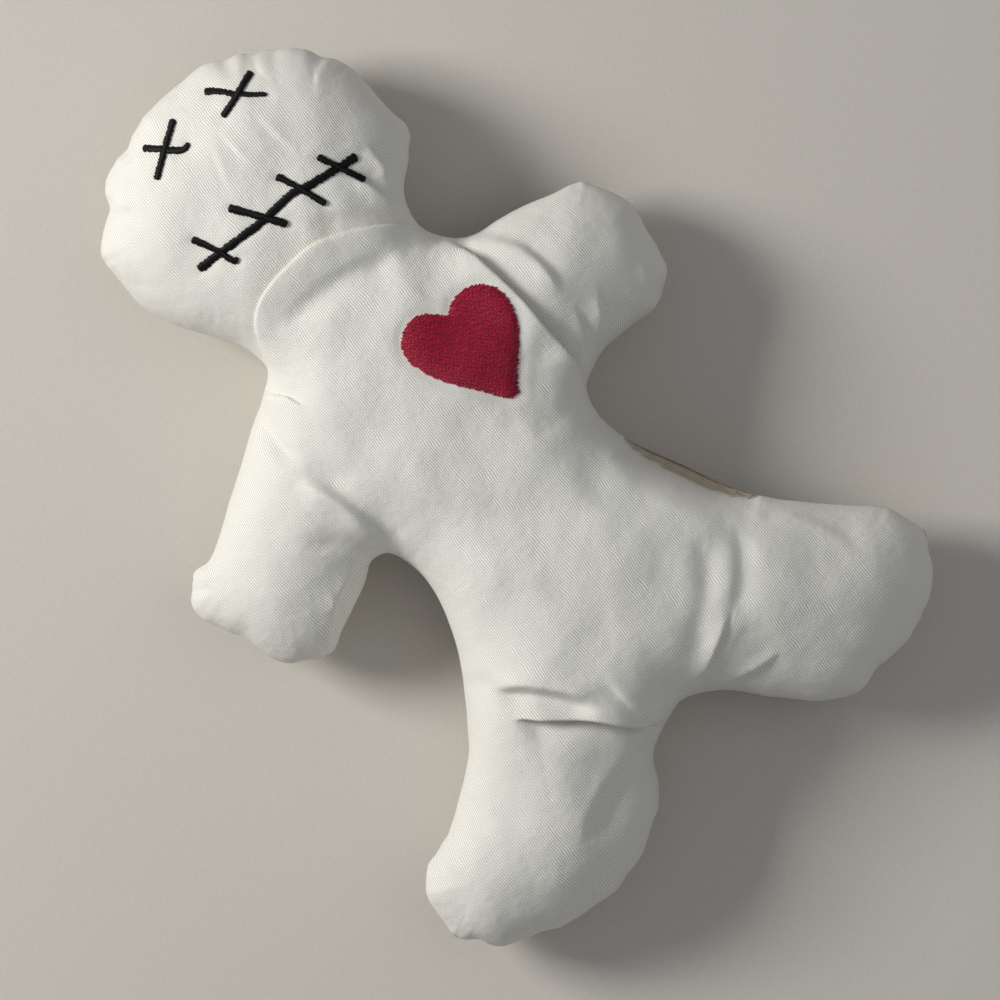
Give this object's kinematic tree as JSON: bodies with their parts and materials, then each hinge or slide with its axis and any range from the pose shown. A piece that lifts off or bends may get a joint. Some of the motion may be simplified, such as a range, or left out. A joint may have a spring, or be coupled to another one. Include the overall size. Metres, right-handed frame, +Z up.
{
  "type": "stuffed cotton voodoo doll",
  "caption": "Voodoo doll sewn from natural cotton and stuffed, with cross-stitched eyes, a stitched mouth and an embroidered heart, lying on its back.",
  "frame": {"origin": "under the middle of the doll, on the surface that it lies on", "axes": "+Z up, out of the doll's face; +Y towards its head; +X to the right as seen from above"},
  "size_m": [0.1502, 0.2175, 0.0458],
  "materials": {
    "calico": "matt",
    "fibre_filling": "matt",
    "black_thread": "satin",
    "crimson_thread": "satin",
    "sewing_thread": "matt"
  },
  "bodies": {
    "root": {"front_panel": "calico", "back_panel": "calico", "stuffing": "fibre_filling", "eye_left": "black_thread", "eye_right": "black_thread", "mouth_stitches": "black_thread", "heart_embroidery": "crimson_thread", "closing_stitches": "sewing_thread"}
  },
  "joints": []
}
